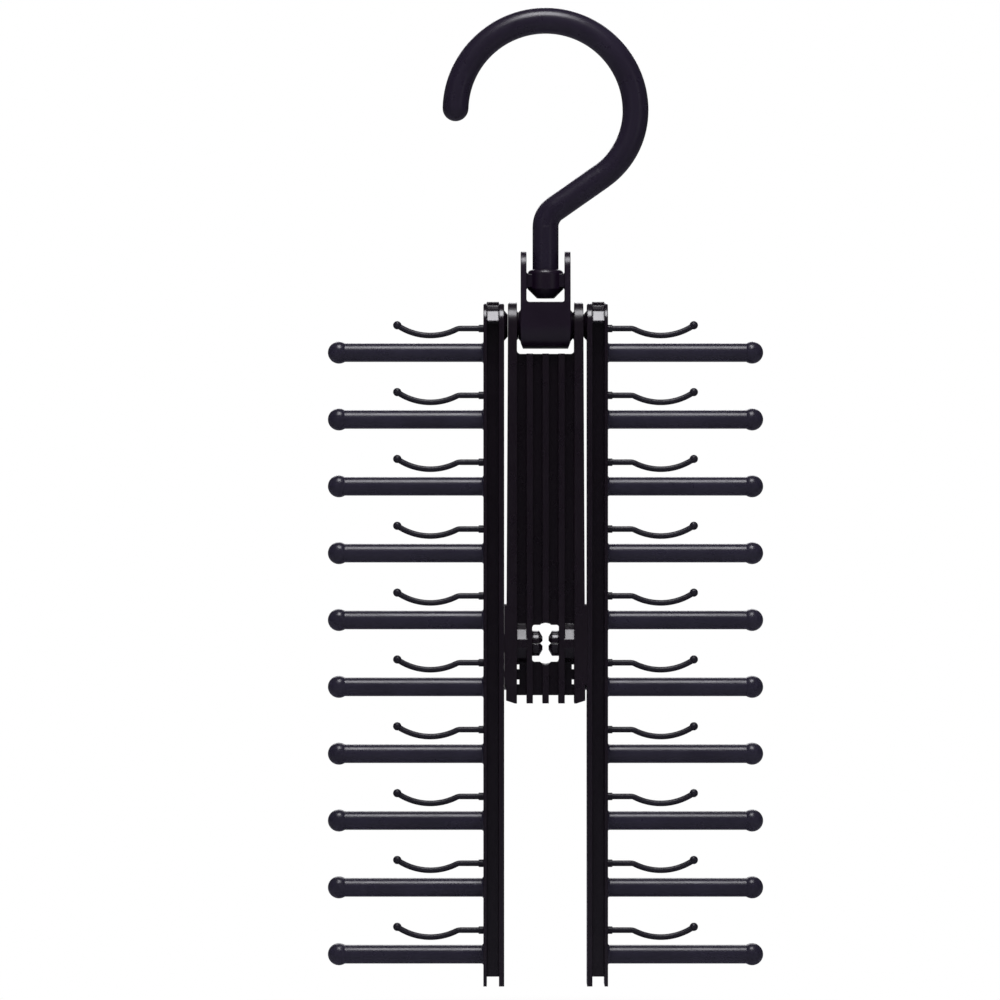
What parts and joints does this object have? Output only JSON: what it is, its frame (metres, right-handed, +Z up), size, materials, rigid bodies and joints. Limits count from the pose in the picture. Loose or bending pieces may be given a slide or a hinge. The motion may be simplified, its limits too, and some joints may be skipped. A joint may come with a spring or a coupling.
{
  "type": "tie hanger",
  "caption": "Black plastic tie hanger: swivelling, tilting hook on a ribbed spine between two hinged rails of round bars with spring fingers.",
  "frame": {"origin": "the hook's seat: the inner crown of its loop, where the wardrobe rail touches it, at mid depth", "axes": "+Z up along the spine, +X to the viewer's right along the right-hand bars, +Y away from the viewer"},
  "size_m": [0.1654, 0.0176, 0.3712],
  "materials": {
    "hook_black": "glossy black injection-moulded plastic",
    "yoke_black": "glossy black injection-moulded plastic",
    "spine_black": "glossy black injection-moulded plastic",
    "rail_black": "glossy black injection-moulded plastic",
    "bar_black": "glossy black injection-moulded plastic",
    "clip_black": "glossy black injection-moulded plastic"
  },
  "bodies": {
    "hook": {"hook": "hook_black"},
    "yoke": {"yoke": "yoke_black"},
    "spine": {"spine": "spine_black"},
    "left_rail": {"left_rail": "rail_black", "left_bar_1": "bar_black", "left_bar_2": "bar_black", "left_bar_3": "bar_black", "left_bar_4": "bar_black", "left_bar_5": "bar_black", "left_bar_6": "bar_black", "left_bar_7": "bar_black", "left_bar_8": "bar_black", "left_bar_9": "bar_black", "left_bar_10": "bar_black", "left_clip_1": "clip_black", "left_clip_2": "clip_black", "left_clip_3": "clip_black", "left_clip_4": "clip_black", "left_clip_5": "clip_black", "left_clip_6": "clip_black", "left_clip_7": "clip_black", "left_clip_8": "clip_black", "left_clip_9": "clip_black", "left_clip_10": "clip_black"},
    "right_rail": {"right_rail": "rail_black", "right_bar_1": "bar_black", "right_bar_2": "bar_black", "right_bar_3": "bar_black", "right_bar_4": "bar_black", "right_bar_5": "bar_black", "right_bar_6": "bar_black", "right_bar_7": "bar_black", "right_bar_8": "bar_black", "right_bar_9": "bar_black", "right_bar_10": "bar_black", "right_clip_1": "clip_black", "right_clip_2": "clip_black", "right_clip_3": "clip_black", "right_clip_4": "clip_black", "right_clip_5": "clip_black", "right_clip_6": "clip_black", "right_clip_7": "clip_black", "right_clip_8": "clip_black", "right_clip_9": "clip_black", "right_clip_10": "clip_black"}
  },
  "joints": [
    {"name": "hook_swivel", "type": "hinge", "parent": "hook", "child": "yoke", "pos_m": [0, 0, -0.095], "axis": [0, 0, 1], "continuous": true},
    {"name": "head_tilt", "type": "hinge", "parent": "yoke", "child": "spine", "pos_m": [0, 0, -0.11095], "axis": [1, 0, 0], "range_deg": [-90, 90]},
    {"name": "left_rail_swing", "type": "hinge", "parent": "spine", "child": "left_rail", "pos_m": [-0.01965, 0, -0.23164], "axis": [1, 0, 0], "range_deg": [0, 35]},
    {"name": "right_rail_swing", "type": "hinge", "parent": "spine", "child": "right_rail", "pos_m": [0.01965, 0, -0.23164], "axis": [-1, 0, 0], "range_deg": [0, 35]}
  ]
}
